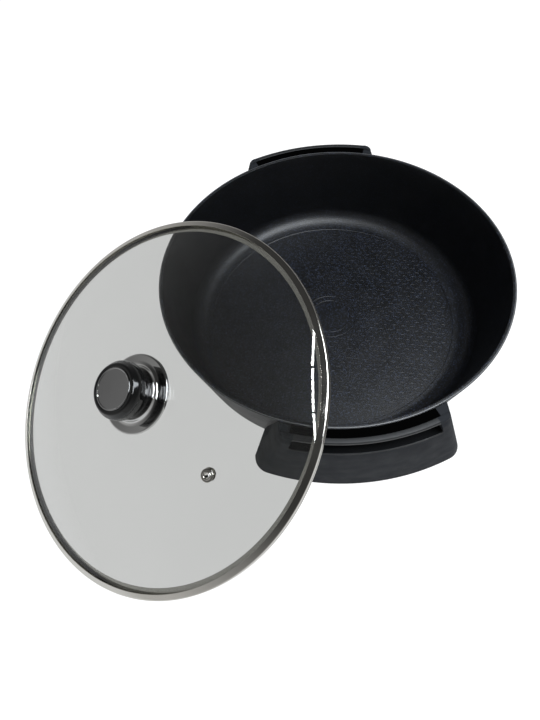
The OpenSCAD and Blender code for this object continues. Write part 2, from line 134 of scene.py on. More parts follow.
def soften(points, steps):
    """Replace each corner (r, z, radius) of an open outline with a curve about that wide."""
    out = []
    for i, point in enumerate(points):
        here = Vector(point[:2])
        radius = point[2] if len(point) > 2 else 0.0
        if radius <= 0 or i in (0, len(points) - 1):
            out.append(here)
            continue
        before = Vector(points[i - 1][:2]) - here
        after = Vector(points[i + 1][:2]) - here
        half = before.angle(after) / 2
        reach = min(radius / math.tan(half), before.length * SIDE_SHARE, after.length * SIDE_SHARE)
        start = here + before.normalized() * reach
        end = here + after.normalized() * reach
        for step in range(steps + 1):
            share = step / steps
            out.append(start.lerp(here, share).lerp(here.lerp(end, share), share))
    return out


def arc(centre_r, centre_z, radius, start, end, steps):
    """Points of an arc in an outline, from one angle to another."""
    angles = [start + (end - start) * step / steps for step in range(steps + 1)]
    return [(centre_r + radius * math.cos(angle), centre_z + radius * math.sin(angle)) for angle in angles]


def add_object(name, data):
    """Object in the scene that shows some data."""
    made = bpy.data.objects.new(name, data)
    bpy.context.scene.collection.objects.link(made)
    return made


def add_built(name, build):
    """Object in the scene from an edited mesh, which is freed."""
    mesh = bpy.data.meshes.new(name)
    build.to_mesh(mesh)
    build.free()
    return add_object(name, mesh)


def add_mesh(name, verts, faces, place, sharp, paints=None):
    """Object from points in millimetres, put in the frame by the matrix place."""
    mesh = bpy.data.meshes.new(name)
    mesh.from_pydata([tuple(place @ Vector(vert)) for vert in verts], [], faces)
    if paints:
        mesh.polygons.foreach_set("material_index", paints)
    build = bmesh.new()
    build.from_mesh(mesh)
    bmesh.ops.remove_doubles(build, verts=build.verts, dist=WELD)
    bmesh.ops.dissolve_degenerate(build, edges=build.edges, dist=SLIVER)
    bmesh.ops.recalc_face_normals(build, faces=build.faces)
    build.to_mesh(mesh)
    build.free()
    mesh.polygons.foreach_set("use_smooth", [True] * len(mesh.polygons))
    mesh.set_sharp_from_angle(angle=math.radians(sharp))
    return add_object(name, mesh)


def turned_faces(count, steps, closed=False):
    """Quads between the turned copies of an outline of count points."""
    faces = []
    last = count if closed else count - 1
    for step in range(steps):
        here, beyond = step * count, ((step + 1) % steps) * count
        for i in range(last):
            j = (i + 1) % count
            faces.append((here + i, beyond + i, beyond + j, here + j))
    return faces


def turned_verts(outline, steps):
    """Points of an outline of (r, z) turned about the Z axis."""
    verts = []
    for step in range(steps):
        angle = 2 * math.pi * step / steps
        verts += [(r * math.cos(angle), r * math.sin(angle), z) for r, z in outline]
    return verts


def lathe(name, outline, place, steps, closed=False, sharp=SHARP):
    """Turned piece. An open outline starts and ends on the axis, a closed one stays off it."""
    verts = turned_verts(outline, steps)
    return add_mesh(name, verts, turned_faces(len(outline), steps, closed), place, sharp)


def moved(faces, start):
    """Faces whose points are counted from start."""
    return [tuple(i + start for i in face) for face in faces]


def along(axis):
    """Matrix that turns the Z axis to another axis."""
    return axis.to_track_quat("Z", "Y").to_matrix().to_4x4()


def cut_hole(piece, radius, centre, axis, depth):
    """Cut a round hole through a piece, about an axis in the frame, in metres."""
    bore = bmesh.new()
    bmesh.ops.create_cone(
        bore, cap_ends=True, segments=SMALL_STEPS, radius1=radius, radius2=radius, depth=depth,
        matrix=Matrix.Translation(centre) @ along(axis))
    tool = add_built("bore", bore)
    cut = piece.modifiers.new("bore", "BOOLEAN")
    cut.operation = "DIFFERENCE"
    cut.solver = "EXACT"
    cut.object = tool
    bpy.context.view_layer.update()
    shown = piece.evaluated_get(bpy.context.evaluated_depsgraph_get())
    piece.data = bpy.data.meshes.new_from_object(shown)
    piece.data.materials.clear()
    piece.data.set_sharp_from_angle(angle=math.radians(SHARP))
    piece.modifiers.clear()
    bpy.data.objects.remove(tool)


def put(piece, body, slot, paints, *nodes):
    """Give a piece its finishes, its body and the solids that it stands for."""
    for material in paints:
        piece.data.materials.append(material)
    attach(piece, body)
    if nodes:
        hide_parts(*nodes)


def repaint(node, material):
    """Give a solid of the frame a better finish."""
    for slot in NODES[node].material_slots:
        slot.material = material


# Finishes

WHITE = (1.0, 1.0, 1.0, 1.0)
BLACK = (0.0, 0.0, 0.0, 1.0)
# Values of a noise between which a soft patch fades
PATCH_LOW, PATCH_HIGH = 0.3, 0.7


class Nodes:
    """A node tree, with short ways to add nodes and join them."""

    def __init__(self, tree):
        self.tree = tree

    def node(self, kind, **values):
        made = self.tree.nodes.new(kind)
        for key, value in values.items():
            setattr(made, key, value)
        return made

    def link(self, start, end):
        self.tree.links.new(start, end)

    def feed(self, sockets, values):
        """Give each socket a value, or join another node's socket to it."""
        for socket, value in zip(sockets, values):
            if isinstance(value, bpy.types.NodeSocket):
                self.link(value, socket)
            else:
                socket.default_value = value

    def wired(self, kind, *inputs, **values):
        """First output of a new node, whose first inputs are fed in order."""
        made = self.node(kind, **values)
        self.feed(made.inputs, inputs)
        return made.outputs[0]

    def math(self, operation, first, second):
        return self.wired("ShaderNodeMath", first, second, operation=operation)

    def spread(self, value, low, high, out_low=0.0, out_high=1.0, **values):
        """Map a value from low to high on to the range from out_low to out_high."""
        return self.wired("ShaderNodeMapRange", value, low, high, out_low, out_high, **values)


class Finish(Nodes):
    """A material's nodes, built from its principled shader outwards."""

    def __init__(self, name, **sockets):
        self.material = bpy.data.materials.new(name)
        self.material.use_nodes = True
        super().__init__(self.material.node_tree)
        self.shader = self.tree.nodes["Principled BSDF"]
        for socket, value in sockets.items():
            self.shader.inputs[socket.replace("_", " ")].default_value = value
        self.place = self.node("ShaderNodeTexCoord").outputs["Object"]

    def noise(self, scale, detail, rough=0.5):
        made = self.node("ShaderNodeTexNoise")
        for name, value in (("Scale", scale), ("Detail", detail), ("Roughness", rough)):
            made.inputs[name].default_value = value
        self.link(self.place, made.inputs["Vector"])
        return made.outputs["Fac"]

    def patches(self, scale, detail=4, low=0.0, high=1.0):
        """Soft patches that drift between low and high."""
        return self.spread(self.noise(scale, detail), PATCH_LOW, PATCH_HIGH, low, high)

    def blend(self, factor, first, second):
        made = self.node("ShaderNodeMix", data_type="RGBA")
        self.link(factor, made.inputs["Factor"])
        self.feed([socket for socket in made.inputs if socket.type == "RGBA"], (first, second))
        return [socket for socket in made.outputs if socket.type == "RGBA"][0]

    def colour(self, socket):
        self.link(socket, self.shader.inputs["Base Color"])

    def roughness(self, socket):
        self.link(socket, self.shader.inputs["Roughness"])

    def bump(self, height, strength, distance):
        made = self.node("ShaderNodeBump")
        made.inputs["Strength"].default_value = strength
        made.inputs["Distance"].default_value = distance
        self.link(height, made.inputs["Height"])
        self.link(made.outputs["Normal"], self.shader.inputs["Normal"])


def toned(colour, factor=1.0):
    """A colour made lighter or darker, with full opacity."""
    return (*(min(1.0, part * factor) for part in colour[:3]), 1.0)


def plain_finish(name, colour, rough, grain, patch, drift, **sockets):
    """Finish with soft patches of tone, uneven gloss and a grain of a given strength and scale."""
    gloss_patch, gloss_drift, grain_depth = 3, 0.12, 0.0002
    made = Finish(name, **sockets)
    made.colour(made.blend(made.patches(patch), toned(colour, 1 - drift), toned(colour, 1 + drift)))
    dull, glossy = rough * (1 + gloss_drift), rough * (1 - gloss_drift)
    made.roughness(made.patches(patch * gloss_patch, low=glossy, high=dull))
    strength, scale = grain
    made.bump(made.noise(scale, detail=4), strength, grain_depth)
    return made.material


def coat_finish(name, settings, rough):
    """Dark non-stick coat with fine light specks; the specks are thinned on its steep faces as painted shade,
    so the walls come out darker than the floor.
    """
    drift, gloss_drift, fine_share, shaded_wall_speck_share = 0.14, 0.1, 0.7, 0.25
    made = Finish(name, Specular_IOR_Level=0.5)
    base = settings.coat_colour
    tone = made.blend(made.patches(9.0), toned(base, 1 - drift), toned(base, 1 + drift))
    specks = made.spread(made.noise(820.0, detail=2, rough=0.6), low=0.56, high=0.68)
    fine = made.spread(made.noise(430.0, detail=2, rough=0.6), low=0.60, high=0.74)
    specks = made.math("MAXIMUM", specks, made.math("MULTIPLY", fine, fine_share))
    # Painted shade: the light specks fade on faces that turn away from overhead, which darkens the walls
    facing = made.node("ShaderNodeSeparateXYZ")
    made.link(made.node("ShaderNodeNewGeometry").outputs["Normal"], facing.inputs["Vector"])
    level = made.spread(facing.outputs["Z"], low=0.3, high=0.9, out_low=shaded_wall_speck_share)
    made.colour(made.blend(made.math("MULTIPLY", specks, level), tone, toned(settings.speck_colour)))
    dull, glossy = rough * (1 + gloss_drift), rough * (1 - gloss_drift)
    made.roughness(made.patches(40.0, detail=5, low=glossy, high=dull))
    made.bump(made.noise(900.0, detail=3, rough=0.6), strength=0.34, distance=0.0003)
    return made.material


def metal_finish(name, colour, rough, grain, scratch):
    """Metal with fine scratches of a given scale and strength, and smudges that dull it."""
    dark, light, glossy, dull, smudge = 0.94, 1.03, 0.8, 1.35, 0.01
    made = Finish(name, Metallic=1.0)
    made.colour(made.blend(made.patches(30.0), toned(colour, dark), toned(colour, light)))
    smudges = made.noise(55.0, detail=5)
    made.roughness(made.spread(smudges, 0.35, 0.75, out_low=rough * glossy, out_high=rough * dull + smudge))
    made.bump(made.noise(grain, detail=3, rough=0.6), scratch, distance=0.0001)
    return made.material


def glass_finish(name, colour):
    """Lid glass with faint smears and a grey tint darker than the clear glass's own, which paints the shade
    of the floor seen through it.
    """
    smear_tone, smear_rough = 0.985, 0.012
    made = Finish(name, IOR=1.5, Transmission_Weight=1.0)
    smears = made.spread(made.noise(18.0, detail=5), low=0.35, high=0.75)
    made.colour(made.blend(smears, toned(colour, smear_tone), toned(colour)))
    made.roughness(made.spread(made.noise(26.0, detail=5), low=0.4, high=0.8, out_high=smear_rough))
    return made.material


# Settings


def colour_setting(name, description, default):
    """A colour that the panel shows."""
    return FloatVectorProperty(
        name=name, description=description, subtype="COLOR", size=3, min=0, max=1, default=default)


def number_setting(name, description, default, low=0.0, high=1000.0):
    """A number that the panel shows."""
    return FloatProperty(name=name, description=description, default=default, min=low, max=high)


class SkilletPanSettings(bpy.types.PropertyGroup):
    """Sizes and colours of the pan"""

    coat_colour: colour_setting("Coat", "Colour of the non-stick coat", (0.0020, 0.0021, 0.0024))
    speck_colour: colour_setting("Specks", "Colour of the specks in the coat", (0.034, 0.044, 0.074))
    # The rim colour and width set a painted highlight: a light band on the rounded outer edge of the rim
    rim_highlight_colour: colour_setting("Rim", "Colour of the rim's edge", (0.15, 0.153, 0.156))
    rim_highlight_width: number_setting("Rim width", "Width of the rim's bare edge, in mm", 1.5, 0.5, 3)
    skin: number_setting("Coat thickness", "Thickness of the coat on the casting, in mm", 0.15, 0.05, 0.3)
    scale_pitch: number_setting("Scale pitch", "Distance between the pressed scales, in mm", 9.4, 4, 12)


class SkilletLegSettings(bpy.types.PropertyGroup):
    """Sizes and colours of the handle legs"""

    skirt_colour: colour_setting("Skirt", "Colour of the satin plastic", (0.026, 0.028, 0.032))
    # The lip's finish is a lit copy of the skirt's plastic, whose colour and shine paint the light on the lip
    lip_lit_colour: colour_setting("Lip", "Colour of the smoother plastic of the lip", (0.018, 0.019, 0.020))
    # The recess's dark finish is painted shade inside the finger recesses
    recess_shade_colour: colour_setting(
        "Recess", "Colour of the plastic inside the finger recesses", (0.0085, 0.009, 0.0098))
    # The trough's near-black finish is painted shade between the lip and the pan
    trough_shade_colour: colour_setting("Trough", "Colour of the trough behind the lip", (0.0012, 0.0012, 0.0012))
    lip_width: number_setting("Lip width", "Width of the lip along the handle's edge, in mm", 5.0, 4, 7)
    edge_round: number_setting("Edge rounding", "Radius of the lip's outer edge, in mm", 1.5, 0.5, 3)


class SkilletLidSettings(bpy.types.PropertyGroup):
    """Colours of the lid"""

    # The glass tint is darker than the real glass's, painting the shade of the floor seen through the lid
    glass_tint_and_shade: colour_setting("Glass", "Tint of the glass", (0.70, 0.71, 0.70))
    steel_colour: colour_setting("Band", "Colour of the band's steel", (0.76, 0.74, 0.69))
    chrome_colour: colour_setting("Chrome", "Colour of the bright plate", (0.64, 0.64, 0.63))
    cap_colour: colour_setting("Cap", "Colour of the knob's dark mirror cap", (0.40, 0.40, 0.40))
    knob_colour: colour_setting("Knob", "Colour of the knob", (0.006, 0.006, 0.006))
    round_steps: IntProperty(
        name="Steps", description="Steps round the lid", default=256, min=64, max=512)


class SkilletStageSettings(bpy.types.PropertyGroup):
    """Camera, floor and light"""

    eye: FloatVectorProperty(
        name="Camera", description="Place of the camera", subtype="TRANSLATION", unit="LENGTH",
        size=3, default=(-0.0643, -0.3245, 0.3822 + RIM_Z * MM))
    look: FloatVectorProperty(
        name="Camera turn", description="Turn of the camera", subtype="EULER", unit="ROTATION",
        size=3, default=(math.radians(30.50), math.radians(4.106), math.radians(-5.333)))
    lens: number_setting("Lens", "Focal length on a frame 36 mm high, in mm", 25.32, 10, 100)
    key: number_setting("Key light", "Power of the overhead light, in watts", 29.0)
    strip: number_setting("Strip light", "Power of the strips overhead, in watts per metre", 1.6)
    room: number_setting("Room light", "Strength of the room's light", 0.04)
    wall: number_setting("Walls", "Strength of the room's pale walls at the floor", 0.50)
    wall_top: number_setting("Wall height", "Sine of the angle at which the walls have faded", 0.75, 0.05, 1)
    ceiling: number_setting("Ceiling", "Strength of the ceiling mirrored inside the glass", 0.30)


# Pan

# Raised rings of the floor: radius, half width and height, and the share of the width that is flat
FLOOR_RINGS = ((21.3, 0.5, 0.22), (27.5, 0.5, 0.22), (131.6, 0.55, 0.22))
RING_FLAT = 0.3
# Depths below the rim of points on the wall, and of the edge that is rounded inside and outside
WALL_DEPTHS = (44, 22)
EDGE_DEPTH = 6
EDGE_IN, EDGE_OUT = 0.9, 1.1
# Depth below the rim to which the painted highlight on the rim's edge reaches
RIM_HIGHLIGHT_DEPTH = 1.2
CORNER_STEPS = 16
# The coat stops beside the bottom cover and is closed inside the casting
COAT_END_R = COVER_R + 1.5
COAT_BACK_Z = UNDER_Z + 2.5
# Pressed scales: their size, the share of the width left at their ends, and how deep they sit
SCALE_LENGTH, SCALE_HALF, SCALE_H, SCALE_BOW = 5.6, 0.36, 0.20, 0.7
SCALE_BLUNT = 0.05
SCALE_STATIONS = 6
SCALE_SINK = 0.02
# Rows of scales: their turn, their distance as a share of the pitch, and the round field that they fill
SCALE_TURN = math.radians(-14)
ROW_SHARE = 0.62
COLUMNS = 24
FIELD_REACH = 130
FIELD_IN, FIELD_OUT = 31, 127


def pan_outline(skin):
    """Half section of the pan's coat, from the middle of the floor round the rim to the underside."""
    slope = math.cos(WALL_LEAN)
    inside_r = PAN_R - WALL_T / slope
    inner, outer = inside_r - skin / slope, PAN_R + skin

    def wall(top_r, depth, *radius):
        z = RIM_Z - depth
        return (wall_r(top_r, z), z, *radius)

    floor_z = FLOOR_Z + skin
    out = [Vector((0.0, floor_z))]
    for ring_r, half, height in FLOOR_RINGS:
        for side, up in ((-1, 0.0), (-RING_FLAT, height), (RING_FLAT, height), (1, 0.0)):
            out.append(Vector((ring_r + half * side, floor_z + up)))
    centre_z = FLOOR_Z + CORNER_R
    centre_r = wall_r(inside_r, centre_z) - CORNER_R / slope
    out += map(Vector, arc(centre_r, centre_z, CORNER_R - skin, -math.pi / 2, -WALL_LEAN, CORNER_STEPS))
    out += [Vector(wall(inner, depth)) for depth in WALL_DEPTHS]
    out += soften([
        wall(inner, EDGE_DEPTH), wall(inner, -skin, EDGE_IN),
        wall(outer, -skin, EDGE_OUT), wall(outer, EDGE_DEPTH)], 5)
    out += [Vector(wall(outer, depth)) for depth in reversed(WALL_DEPTHS)]
    outer_corner = CORNER_R + WALL_T
    centre_z = UNDER_Z + outer_corner
    centre_r = wall_r(PAN_R, centre_z) - outer_corner / slope
    bend = arc(centre_r, centre_z, outer_corner + skin, -WALL_LEAN, -math.pi / 2, CORNER_STEPS)
    out += map(Vector, bend)
    out += [Vector((COAT_END_R, UNDER_Z - skin)), Vector((COAT_END_R, COAT_BACK_Z))]
    return out + [Vector((0.0, COAT_BACK_Z))]


def scale_turned(u, v):
    """Point of the scales' own grid, turned to lie on the floor."""
    cos, sin = math.cos(SCALE_TURN), math.sin(SCALE_TURN)
    return u * cos - v * sin, u * sin + v * cos


def pressed_scale(x, y, z):
    """Points and faces of one pressed scale: a low curved ridge."""
    verts, faces = [], []
    for station in range(SCALE_STATIONS + 1):
        share = 2 * station / SCALE_STATIONS - 1
        thin = max(SCALE_BLUNT, 1 - share * share)
        u, bow = share * SCALE_LENGTH / 2, SCALE_BOW * (1 - share * share)
        for side, up in ((-1, 0.0), (0, 1.0), (1, 0.0)):
            across, down = scale_turned(u, bow + side * SCALE_HALF * thin)
            verts.append((x + across, y + down, z + up * SCALE_H * thin))
    for a in range(0, 3 * SCALE_STATIONS, 3):
        b = a + 3
        faces += [(a, b, b + 1, a + 1), (a + 1, b + 1, b + 2, a + 2), (a + 2, b + 2, b, a)]
    end = 3 * SCALE_STATIONS
    return verts, faces + [(0, 1, 2), (end + 2, end + 1, end)]


def scale_places(pitch):
    """Middles of the scales, in rows that are set half a pitch apart by turns."""
    rows = int(FIELD_REACH / (pitch * ROW_SHARE))
    for row in range(-rows, rows + 1):
        for column in range(-COLUMNS, COLUMNS + 1):
            x, y = scale_turned((column + 0.5 * (row % 2)) * pitch, row * pitch * ROW_SHARE)
            if FIELD_IN < math.hypot(x, y) < FIELD_OUT:
                yield x, y


class SKILLET_OT_pan(bpy.types.Operator):
    """Coat the pan inside and out, with a painted highlight on its rim's outer edge, floor rings and pressed
    scales
    """

    bl_idname = "skillet.pan"
    bl_label = "Pan"

    def execute(self, context):
        settings = context.scene.skillet_pan
        inside = coat_finish("pan_coat", settings, rough=0.385)
        rim = plain_finish(
            "rim_edge_highlight", settings.rim_highlight_colour, rough=0.42, grain=(0.10, 900.0), patch=60.0, drift=0.12)
        skin = lathe("pan_coating", pan_outline(settings.skin), ROOT, steps=240, sharp=28)
        put(skin, "cooker", "pan_coat", [inside, rim])
        # Painted highlight: the faces on the rim's outer edge take the light rim finish
        for face in skin.data.polygons:
            centre = face.center / MM
            outside = math.hypot(centre.x, centre.y) > PAN_R - settings.rim_highlight_width
            if centre.z > RIM_Z - RIM_HIGHLIGHT_DEPTH and outside:
                face.material_index = 1
        verts, faces = [], []
        for x, y in scale_places(settings.scale_pitch):
            more, sides = pressed_scale(x, y, FLOOR_Z + settings.skin - SCALE_SINK)
            faces += moved(sides, len(verts))
            verts += more
        put(add_mesh("floor_scales", verts, faces, ROOT, sharp=80), "cooker", "pan_coat", [inside])
        repaint("pan", inside)
        return {"FINISHED"}


# Handle legs


class LegPlan:
    """Outline of a leg seen from above at one height, front edge towards -Y."""

    def __init__(self, width, front, arc_r, corner, sweep=0.0, skew=0.0):
        self.half = width / 2
        self.front = front
        self.arc_r = arc_r
        self.corner = corner
        self.sweep = Vector((sweep, 0))
        self.centre = Vector((skew, arc_r - front))
        self.corner_y, self.end = {}, {}
        for hand in (-1, 1):
            across = hand * (self.half - corner) - skew
            drop = math.sqrt((arc_r - corner) ** 2 - across ** 2)
            self.corner_y[hand] = (arc_r - front) - drop
            self.end[hand] = math.atan2(across, drop)

    def point(self, zone, t, back_y):
        """Point and inward direction at a share t of a zone, from -2 at the left side round to 2."""
        hand = -1 if zone < 0 else 1
        if abs(zone) == 2:
            y = self.corner_y[hand] + t * (back_y - self.corner_y[hand])
            return self.sweep + Vector((hand * self.half, y)), Vector((-hand, 0))
        if zone == 0:
            angle = (self.end[1] + self.end[-1] + t * (self.end[1] - self.end[-1])) / 2
            centre, radius = self.centre, self.arc_r
        else:
            angle = self.end[hand] + t * (hand * math.pi / 2 - self.end[hand])
            centre, radius = Vector((hand * (self.half - self.corner), self.corner_y[hand])), self.corner
        normal = Vector((math.sin(angle), -math.cos(angle)))
        return self.sweep + centre + normal * radius, -normal


# Plans at the handle's top and at the foot, and the leg's other sizes in millimetres
LEG_TOP = LegPlan(width=138.0, front=185.5, arc_r=192.0, corner=9.0)
LEG_FOOT = LegPlan(width=211.0, front=177.5, arc_r=250.0, corner=18.0, sweep=6.5, skew=8.0)
LEG_TOP_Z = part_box("front_handle_leg")[1].z / MM
LEG_FOOT_Z = 1.2
LEG_BACK = 135.5
LEG_WALL = 4.0
LEG_GAP = 0.5
SKIRT_HEIGHTS = (20.0, 45.0, 70.0, 88.0)
HOLLOW_HEIGHTS = (70.0, 40.0, 20.0)
HOLLOW_EDGE = 0.6
# The finger recess below the handle's shelf, and the trough between the shelf's lip and the pan
TROUGH_DROP = 2.3
HANDLE_T = 4.0
RECESS_H = 16.5
RECESS_DEPTH = 12.5
RECESS_HALF = 60.0
RECESS_ROUND = 3.0
RECESS_SLACK = 0.01
SILL_ROUND = 1.0
TROUGH_Z = LEG_TOP_Z - TROUGH_DROP
RECESS_Z = TROUGH_Z - HANDLE_T - RECESS_H / 2
HOLLOW_Z = TROUGH_Z - HANDLE_T - RECESS_H - LEG_WALL
TROUGH_FILLET, TROUGH_LEDGE = 0.6, 0.05
# The lip: how far its edge lies back, how thin it is at the front, and its smallest roundings
LIP_SETBACK = 2.2
LIP_LIFT = 2.2
LIP_ROUND_MIN = 0.8
LIP_BACK_MIN, LIP_BACK_MORE = 0.05, 0.65
LIP_ROUND_STEPS, LIP_BACK_STEPS = 5, 4
# Share of the corners that the trough's painted shade reaches into
SHADE_REACH = 0.6
# Rounded edges, each a row of steps inward and up
FOOT_EDGE = ((1.2, 0.0), (0.5, 0.0), (0.0, 0.5), (0.0, 1.4))
SILL_EDGE = ((0.12, -0.4), (0.45, -0.08), (1.0, 0.0))
BACK_EDGE = ((-1.0, 0.0), (-0.3, 0.3), (0.0, 1.0))
LIP_EDGE = ((4.0, 0.0), (1.0, LIP_LIFT), (0.4, LIP_LIFT + 0.1), (0.1, LIP_LIFT + 0.3), (0.0, LIP_LIFT + 0.6))
# Round bosses that hold the feet, each with a socket in its underside
BOSS_R, BOSS_TOP = 7.6, 17.2
SOCKET_R, SOCKET_TOP = 7.15, 5.2
# Finishes of a leg, in the order of its materials: the plastic's own colour; a lit copy of it that paints
# light on the lip and a highlight along the sill's edge; painted shade in the trough; painted shade inside
# the recess
SKIRT, LIT_PAINT, SHADE, RECESS_SHADE = 0, 1, 2, 3


def leg_stations():
    """Zones and steps along a leg's outline, close together at the recess's ends."""
    sides, corners, rounds, fronts, nudge = 6, 8, 7, 40, 0.0012

    def front_share(x):
        return math.asin(x / LEG_TOP.arc_r) / LEG_TOP.end[1]

    side = [step / sides for step in range(sides, 0, -1)]
    corner = [step / corners for step in range(corners, 0, -1)]
    near = [front_share(RECESS_HALF) + nudge, front_share(RECESS_HALF)]
    for step in range(1, rounds + 1):
        near.append(front_share(RECESS_HALF - RECESS_ROUND * (1 - math.cos(math.pi / 2 * step / rounds))))
    between = [near[-1] * (1 - 2 * step / fronts) for step in range(1, fronts)]
    front = [1.0] + near + between + [-share for share in reversed(near)] + [-1.0]
    out = [(-2, share) for share in side] + [(-1, share) for share in corner]
    out += [(0, -share) for share in front]
    return out + [(1, share) for share in reversed(corner)] + [(2, share) for share in reversed(side)]


def lip_depth(point, into, back_r):
    """Distance inward from a point of the leg's top outline to where the trough starts."""
    reach = point.dot(into)
    return max(0.0, -reach - math.sqrt(reach * reach - point.length_squared + back_r * back_r))


def recess_half(x):
    """Half the recess's height at a distance x from its middle, less at its rounded ends."""
    over = min(RECESS_ROUND, max(0.0, x - (RECESS_HALF - RECESS_ROUND)))
    return RECESS_H / 2 - RECESS_ROUND + math.sqrt(RECESS_ROUND ** 2 - over ** 2)


def pan_edge(z):
    """Radius at which a leg stops, just outside the pan's wall."""
    return wall_r(PAN_R, z) + LEG_GAP / math.cos(WALL_LEAN)


class LegSection:
    """Closed loop of points across a leg at one station of its outline, with each face's finish."""

    def __init__(self, zone, t, settings):
        self.zone, self.t = zone, t
        corner, into = LEG_TOP.point(zone, t, -LEG_BACK)
        self.open = zone == 0 and abs(corner.x) <= RECESS_HALF + RECESS_SLACK
        half = recess_half(abs(corner.x))
        self.low_z, self.high_z = RECESS_Z - half, RECESS_Z + half
        # The setback fades round the corners, and the lip fades where the trough meets the outline
        self.setback = LIP_SETBACK * {0: 1.0, 1: 1.0 - t}.get(abs(zone), 0.0)
        depth = lip_depth(corner, into, LEG_TOP.front - LIP_SETBACK - settings.lip_width)
        self.full = min(1.0, depth / settings.lip_width)
        self.crest_z = TROUGH_Z + TROUGH_DROP * self.full
        self.round = max(LIP_ROUND_MIN, settings.edge_round * self.full)
        self.back_round = LIP_BACK_MIN + LIP_BACK_MORE * self.full
        self.lip = max(depth, self.round + 2 * self.back_round)
        self.loop, self.paint = [], []
        self.add_skirt()
        self.add_recess()
        self.add_lip()
        self.add_hollow()

    def add(self, z, inward=0.0):
        """Add a point at height z, moved inward from the leg's outer face."""
        share = (z - LEG_FOOT_Z) / (LEG_TOP_Z - LEG_FOOT_Z)
        half = LEG_FOOT.half + (LEG_TOP.half - LEG_FOOT.half) * share
        edge = pan_edge(z) if z > UNDER_Z + CORNER_R else 0
        back = -max(LEG_BACK, math.sqrt(max(0.0, edge * edge - half * half)))
        low, _ = LEG_FOOT.point(self.zone, self.t, back)
        high, into = LEG_TOP.point(self.zone, self.t, back)
        flat = low.lerp(high, share) + into * inward
        if flat.length < edge:
            flat = flat.normalized() * edge
        self.loop.append(Vector((flat.x, flat.y, z)))

    def paint_to(self, finish):
        """Give the faces since the last call a finish, up to the last point."""
        self.paint += [finish] * (len(self.loop) - 1 - len(self.paint))

    def add_skirt(self):
        """Outer face from the foot up to the recess."""
        for inward, up in FOOT_EDGE:
            self.add(LEG_FOOT_Z + up, inward)
        for z in SKIRT_HEIGHTS:
            self.add(z)

    def add_recess(self):
        """Sill, back and ceiling of the recess, or the plain face beside it."""
        self.add(self.low_z - SILL_ROUND)
        self.paint_to(SKIRT)
        for inward, up in SILL_EDGE:
            self.add(self.low_z + up, inward * self.open)
        # Painted highlight: the sill's rounded edge takes the lip's lit paint where the recess is open
        self.paint_to(LIT_PAINT if self.open else SKIRT)
        for inward, up in BACK_EDGE:
            self.add(self.low_z + up, (RECESS_DEPTH + inward) * self.open)
        for inward, up in reversed(BACK_EDGE):
            self.add(self.high_z - up, (RECESS_DEPTH + inward) * self.open)

    def add_lip(self):
        """Front edge of the shelf, and the lip on it as far as the trough."""
        edge_z = self.crest_z - self.round
        for step, (inward, up) in enumerate(LIP_EDGE, 1):
            share = step / (len(LIP_EDGE) + 1)
            eased = share * share * (3 - 2 * share)
            if self.open:
                self.add(min(self.high_z + up, edge_z), self.setback + inward)
            else:
                self.add(self.high_z + (edge_z - self.high_z) * share, self.setback * eased)
            if step == len(LIP_EDGE) - 1:
                # Painted shade: the back and ceiling of an open recess take the dark recess paint
                self.paint_to(RECESS_SHADE if self.open else SKIRT)
        front = arc(self.setback + self.round, edge_z, self.round, math.pi, math.pi / 2, LIP_ROUND_STEPS)
        back_in, back_z = self.lip - self.back_round, self.crest_z - self.back_round
        back = arc(back_in, back_z, self.back_round, math.pi / 2, 0.0, LIP_BACK_STEPS)
        for inward, z in front + back:
            self.add(z, inward)
        # Painted light: the lip takes the lit paint only where the recess is open
        self.paint_to(LIT_PAINT if self.open else SKIRT)

    def add_hollow(self):
        """Trough, the face along the pan and the hollow inside."""
        self.add(TROUGH_Z + TROUGH_FILLET * self.full, self.lip)
        self.add(TROUGH_Z, self.lip + TROUGH_FILLET * self.full + TROUGH_LEDGE)
        bearing = self.loop[-1].to_2d().normalized()
        for z in (TROUGH_Z, (TROUGH_Z + HOLLOW_Z) / 2, HOLLOW_Z):
            self.loop.append(Vector((*(bearing * pan_edge(z)), z)))
        # Painted shade: the trough is painted near black along the front and part way round the corners
        dark = self.zone == 0 or (abs(self.zone) == 1 and self.t < SHADE_REACH)
        self.paint_to(SHADE if dark else SKIRT)
        for z in (HOLLOW_Z, *HOLLOW_HEIGHTS, LEG_FOOT_Z + HOLLOW_EDGE):
            self.add(z, LEG_WALL)
        self.add(LEG_FOOT_Z, LEG_WALL - HOLLOW_EDGE)
        self.paint_to(SKIRT)
        self.paint.append(SKIRT)


def leg_mesh(name, turn, settings):
    """One leg, closed, with its foot bosses; each face gets the finish of its place."""
    sections = [LegSection(zone, t, settings) for zone, t in leg_stations()]
    count = len(sections[0].loop)
    verts = [tuple(point) for section in sections for point in section.loop]
    faces, paints = [], []
    for station, (section, beyond) in enumerate(zip(sections, sections[1:])):
        a, b = station * count, (station + 1) * count
        for i in range(count):
            j = (i + 1) % count
            faces.append((a + i, b + i, b + j, a + j))
            paints.append(min(section.paint[i], beyond.paint[i]))
    faces.append(tuple(range(count)))
    faces.append(tuple(reversed(range(len(verts) - count, len(verts)))))
    boss = [Vector((0.0, SOCKET_TOP))] + soften([
        (SOCKET_R, SOCKET_TOP), (SOCKET_R, LEG_FOOT_Z, 0.1), (BOSS_R, LEG_FOOT_Z, 0.1),
        (BOSS_R, BOSS_TOP, 0.8), (0.0, BOSS_TOP)], 3)
    for foot in ("front_left_foot", "front_right_foot"):
        spot = middle(foot) / MM
        faces += moved(turned_faces(len(boss), SMALL_STEPS), len(verts))
        verts += [(x + spot.x, y + spot.y, z) for x, y, z in turned_verts(boss, SMALL_STEPS)]
    paints += [SKIRT] * (len(faces) - len(paints))
    place = Matrix.Rotation(turn, 4, "Z") @ ROOT
    return add_mesh(name, verts, faces, place, sharp=32, paints=paints)


